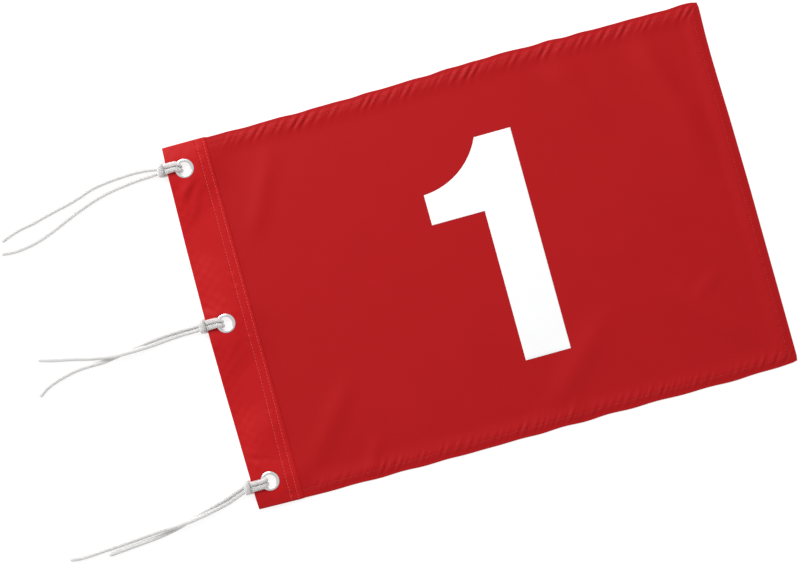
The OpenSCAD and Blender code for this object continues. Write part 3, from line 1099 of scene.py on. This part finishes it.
def grommet_cutter(x, y):
    """A round cutter for the hole that a grommet is pressed through."""
    radius, low, high, sides = 0.00628, 0.001, 0.010, 72
    angles = [TAU * k / sides for k in range(sides)]
    points = [(x + radius * math.cos(a), y + radius * math.sin(a), z) for z in (low, high) for a in angles]
    caps = [list(range(sides))[::-1], [sides + k for k in range(sides)]]
    return plain_object("cutter", points, [], tube_faces(2, sides) + caps)


# ---------------------------------------------------------------- the printed figure


# The figure's extent in millimetres
FIGURE_X = (-33.0, 58.5)
FIGURE_Y = (-102.5, 104.5)


def numeral_outline():
    """The figure one: a square-ended stem and a flag whose upper edge is a hollow arc, in millimetres."""
    stem_left, stem_right = 16.5, FIGURE_X[1]
    foot, head = FIGURE_Y
    arm, tip_y, shoulder, arc_r = (FIGURE_X[0], 38.0), 66.0, 24.5, 66.0
    chord = np.array([shoulder - arm[0], head - tip_y])
    half = np.linalg.norm(chord) / 2
    middle = np.array([(arm[0] + shoulder) / 2, (tip_y + head) / 2])
    square = np.array([-chord[1], chord[0]]) / (2 * half)
    centre = middle + math.sqrt(arc_r**2 - half**2) * square
    a0 = math.atan2(tip_y - centre[1], arm[0] - centre[0])
    a1 = math.atan2(head - centre[1], shoulder - centre[0])
    arc = [centre + arc_r * np.array([math.cos(a), math.sin(a)]) for a in np.linspace(a1, a0, 25)]
    stem = [(stem_left, foot), (stem_right, foot), (stem_right, head)]
    return [*stem, *map(tuple, arc), arm, (stem_left, arm[1])]


def numeral_flat():
    """The figure as a flat mesh, cut into small cells so that it can follow the cloth."""
    bm = bmesh.new()
    corners = [bm.verts.new((x * MM, y * MM, 0)) for x, y in numeral_outline()]
    bm.faces.new(corners)
    cell = 0.003
    for axis, (low, high) in enumerate((FIGURE_X, FIGURE_Y)):
        for place in np.arange(low * MM + cell, high * MM - cell / 2, cell):
            point, normal = [0, 0, 0], [0, 0, 0]
            point[axis], normal[axis] = float(place), 1
            geometry = bm.verts[:] + bm.edges[:] + bm.faces[:]
            bmesh.ops.bisect_plane(bm, geom=geometry, plane_co=point, plane_no=normal, dist=1e-6)
    bmesh.ops.recalc_face_normals(bm, faces=bm.faces)
    bm.normal_update()
    if sum(f.normal.z for f in bm.faces) < 0:
        bmesh.ops.reverse_faces(bm, faces=bm.faces)
    bm.verts.index_update()
    flat = np.array([v.co[:2] for v in bm.verts])
    faces = [[v.index for v in f.verts] for f in bm.faces]
    bm.free()
    return flat, faces


def make_numerals(drape, made):
    flat, faces = numeral_flat()
    film = 0.00018
    sunk = 0.00002
    top = HALF_CLOTH + film
    front = layer("front_numeral_print", drape, flat, faces, top, HALF_CLOTH - sunk, made["white film"])
    back = layer("back_numeral_print", drape, flat, faces, sunk - HALF_CLOTH, -top, made["white film"])
    finish_piece(front, "fly", ["front_numeral"])
    finish_piece(back, "fly", ["back_numeral"])
    return front, back


# ---------------------------------------------------------------- stitching


def stitch_tree(thread):
    """Geometry Nodes: stitches of one length set along each line of a mesh, with their own fixed seed."""
    tree = bpy.data.node_groups.new("stitch row", "GeometryNodeTree")
    face = tree.interface
    face.new_socket("Lines", in_out="INPUT", socket_type="NodeSocketGeometry")
    sockets = {}
    for label, kind, value in (
        ("Pitch", "Float", STITCH_PITCH), ("Stitch length", "Float", 0.0022),
        ("Thread radius", "Float", 0.00026), ("Rise", "Float", 0.0003), ("Sink", "Float", 0.0003),
        ("Wander", "Float", 0.12), ("Seed", "Int", 0),
    ):
        item = face.new_socket(label, in_out="INPUT", socket_type=f"NodeSocket{kind}")
        item.default_value = value
        sockets[label] = item.identifier
    face.new_socket("Stitches", in_out="OUTPUT", socket_type="NodeSocketGeometry")
    g = Graph(tree)
    got = g.add("NodeGroupInput").outputs

    def vector(**axes):
        return g.add("ShaderNodeCombineXYZ", axes).outputs[0]

    half = g.math("MULTIPLY", got["Stitch length"], 0.5)
    sunk = g.math("MULTIPLY", got["Sink"], -1.0)
    start = vector(X=g.math("MULTIPLY", half, -1.0), Z=sunk)
    peak = vector(Z=g.math("MULTIPLY", got["Rise"], 2.0))
    arch = g.add(
        "GeometryNodeCurveQuadraticBezier",
        {"Start": start, "Middle": peak, "End": vector(X=half, Z=sunk)},
        {"Resolution": 4},
    )
    radius = {"Radius": got["Thread radius"]}
    ring = g.add("GeometryNodeCurvePrimitiveCircle", radius, {"Resolution": 6})
    stitch = g.add(
        "GeometryNodeCurveToMesh",
        {"Curve": arch.outputs[0], "Profile Curve": ring.outputs[0]},
        {"Fill Caps": True},
    )

    line = g.add("GeometryNodeMeshToCurve", {0: got["Lines"]})
    spots = g.add(
        "GeometryNodeCurveToPoints", {"Curve": line.outputs[0], "Length": got["Pitch"]}, mode="LENGTH"
    )
    up = g.add("GeometryNodeInputNamedAttribute", {}, {"Name": "face_up"}, data_type="FLOAT_VECTOR")
    turn = g.add(
        "FunctionNodeAxesToRotation",
        {0: spots.outputs["Tangent"], 1: up.outputs["Attribute"]},
        primary_axis="X",
        secondary_axis="Z",
    )
    placed = g.add(
        "GeometryNodeInstanceOnPoints",
        {"Points": spots.outputs["Points"], "Instance": stitch.outputs[0], "Rotation": turn.outputs[0]},
    )
    least = g.math("MULTIPLY", got["Wander"], -1.0)
    yaw = g.add("FunctionNodeRandomValue", {"Seed": got["Seed"], 2: least, 3: got["Wander"]})
    turned = g.add(
        "GeometryNodeRotateInstances",
        {"Instances": placed.outputs[0], "Rotation": vector(Z=yaw.outputs[1])},
    )
    real = g.add("GeometryNodeRealizeInstances", {0: turned.outputs[0]})
    smooth = g.add("GeometryNodeSetShadeSmooth", {0: real.outputs[0]})
    paint = g.add("GeometryNodeSetMaterial", {"Geometry": smooth.outputs[0]}, {"Material": thread})
    g.add("NodeGroupOutput", {0: paint.outputs[0]})
    return tree, sockets


def sew(name, drape, kit, settings, heights, start, end):
    """A row of stitches from start to end in cloth coordinates, on both faces of the cloth.
    kit holds the stitch tree, its sockets and its thread."""
    tree, sockets, thread = kit
    spacing, step_in = 0.0008, 0.001
    count = int(math.dist(start, end) / spacing)
    s = np.linspace(start[0], end[0], count)
    t = np.linspace(start[1], end[1], count)
    if start[0] == end[0] and start[0] < HEADING_EDGE:
        s = s - heading_row_drift(t)
    points, edges, ups = [], [], []
    for way, height in zip((1, -1), heights):
        line = drape.lay(s, t, np.full(count, height))
        inner = drape.lay(s, t, np.full(count, height - way * step_in))
        first = len(points)
        points.extend(line)
        ups.append((line - inner) / step_in)
        edges.extend((first + k, first + k + 1) for k in range(count - 1))
    row = plain_object(name, points, edges, [])
    row.data.attributes.new("face_up", "FLOAT_VECTOR", "POINT").data.foreach_set(
        "vector", np.concatenate(ups).astype(np.float32).ravel()
    )
    nodes = row.modifiers.new("stitches", "NODES")
    nodes.node_group = tree
    for label, value in settings.items():
        nodes[sockets[label]] = value
    bake_modifiers(row)
    if not row.data.materials:
        row.data.materials.append(thread)
    return row


def make_stitching(drape, made):
    dent = 0.00012
    skin = (SKIN_TOP - dent, SKIN_LOW + dent)
    hem = (HALF_CLOTH - dent, HEM_LOW)
    reach = TOP - 0.0014
    inner, outer = (HEADING_EDGE - inset for inset in HEADING_SEAMS)
    start, end = PANEL_START + 0.001, FLY - 0.002
    low, high = -EDGE_SEAM_T + 0.002, EDGE_SEAM_T - 0.002
    rows = []
    # The heading's thread is thicker and its stitches lie less straight
    for thread, looks, heights, body, seams in (
        ("heading thread", {"Wander": 0.35, "Thread radius": 0.00034}, skin, "heading", (
            ("heading_inner", 3, (inner, -reach), (inner, reach), False),
            ("heading_outer", 4, (outer, -reach), (outer, reach), False),
        )),
        ("hem thread", {}, hem, "fly", (
            ("top_hem", 5, (start, EDGE_SEAM_T), (end, EDGE_SEAM_T), True),
            ("bottom_hem", 6, (start, -EDGE_SEAM_T), (end, -EDGE_SEAM_T), True),
            ("fly_hem", 7, (EDGE_SEAM_S, low), (EDGE_SEAM_S, high), False),
        )),
    ):
        kit = (*stitch_tree(made[thread]), made[thread])
        for label, seed, first, last, blended in seams:
            settings = {"Seed": seed, **looks}
            row = sew(f"{label}_stitches", drape, kit, settings, heights, first, last)
            rows.append(finish_piece(row, body, [f"{label}_seam"], blended))
    return rows


# ---------------------------------------------------------------- grommets


def lathe(name, profile, middle, material):
    """Turns a closed (radius, height) section about a grommet's middle. The section runs clockwise."""
    sides = 96
    points, uv = [], []
    for k in range(sides):
        a = TAU * k / sides
        for radius, z in profile:
            points.append((middle[0] + radius * math.cos(a), middle[1] + radius * math.sin(a), z))
            uv.append((a * radius, z))
    faces = tube_faces(sides, len(profile), joined=True)
    obj = mesh_object(name, points, faces, material, uv)
    face_outwards(obj)
    return obj


def arc(centre, radii, start, end, steps):
    """Points on part of an ellipse, angles in degrees."""
    angles = [math.radians(a) for a in np.linspace(start, end, steps)]
    return [(centre[0] + radii[0] * math.cos(a), centre[1] + radii[1] * math.sin(a)) for a in angles]


def eyelet_profile():
    """The pressed front ring: a domed flange, a rolled throat and a barrel spread open at the back."""
    face, floor = 0.0065, 0.00375
    hole, wall, rim, crown = 0.00575, 0.00045, 0.00865, 0.00075
    top_of_throat = face + 0.00035
    return (
        arc((rim - 0.00045, face + 0.00022), (0.00045, 0.00022), -80, 60, 7)
        + arc((0.0074, face + 0.00012), (0.00115, crown - 0.00012), 50, 125, 9)
        + arc((hole + 0.00062, top_of_throat - 0.0003), (0.00062, 0.00055), 120, 180, 7)
        + [(hole, 0.0056), (hole, 0.0050), (hole, 0.0044)]
        + arc((hole + 0.0005, floor + 0.00042), (0.0005, 0.00042), 180, 265, 6)
        + [(hole + 0.0011, floor)]
        + arc((hole + 0.0014, floor + 0.00016), (0.0002, 0.00016), -80, 90, 5)
        + [(hole + wall + 0.00035, floor + 0.00034), (hole + wall, floor + 0.0006)]
        + [(hole + wall, 0.0050), (hole + wall, face - 0.00012), (hole + wall + 0.0006, face + 0.00002)]
        + [(rim - 0.0009, face + 0.00002)]
    )


def washer_profile():
    """The flat back ring, slightly dished, with rolled edges."""
    top, low, inner, outer = 0.0045, 0.0041, 0.00627, 0.0084
    mid = (top + low) / 2
    return (
        arc((outer - 0.0002, mid), (0.0002, 0.0002), 90, -90, 7)
        + [(0.0076, low - 0.00004), (0.0070, low - 0.00004)]
        + arc((inner + 0.0002, mid), (0.0002, 0.0002), 270, 90, 7)
        + [(0.0070, top - 0.00002), (0.0076, top - 0.00002)]
    )


def make_grommets(made):
    for tie, middle in GROMMETS.items():
        for half, profile in (("eyelet", eyelet_profile()), ("washer", washer_profile())):
            ring = lathe(f"{tie}_{half}_ring", profile, middle, made["pressed metal"])
            finish_piece(ring, "heading", [f"{tie}_{half}"])


# ---------------------------------------------------------------- studio


def softbox(name, location, size, power):
    data = bpy.data.lights.new(name, "AREA")
    data.shape = "DISK"
    data.size = size
    data.energy = power
    lamp = linked_object(name, data)
    lamp.location = location
    lamp.rotation_euler = Vector(location).to_track_quat("Z", "Y").to_euler()


def make_studio(made):
    floor = mesh_object("floor", square_corners(3.0), [(0, 1, 2, 3)], made["studio floor"])
    world = bpy.data.worlds.new("studio")
    world.use_nodes = True
    background = world.node_tree.nodes["Background"]
    background.inputs["Color"].default_value = (1, 1, 1, 1)
    background.inputs["Strength"].default_value = 0.60
    bpy.context.scene.world = world
    softbox("key", (-0.85, 1.75, 1.55), 1.6, 63.0)


# ---------------------------------------------------------------- the whole


def build():
    make_camera()
    made = make_materials()
    make_cords(made["braided cord"])
    drape = Drape(cloth_grid())
    panel, tongue = make_panel(drape, made)
    hems = make_hems(drape, made)
    numerals = make_numerals(drape, made)
    make_heading(drape, made)
    stitches = make_stitching(drape, made)
    make_grommets(made)
    make_studio(made)


build()
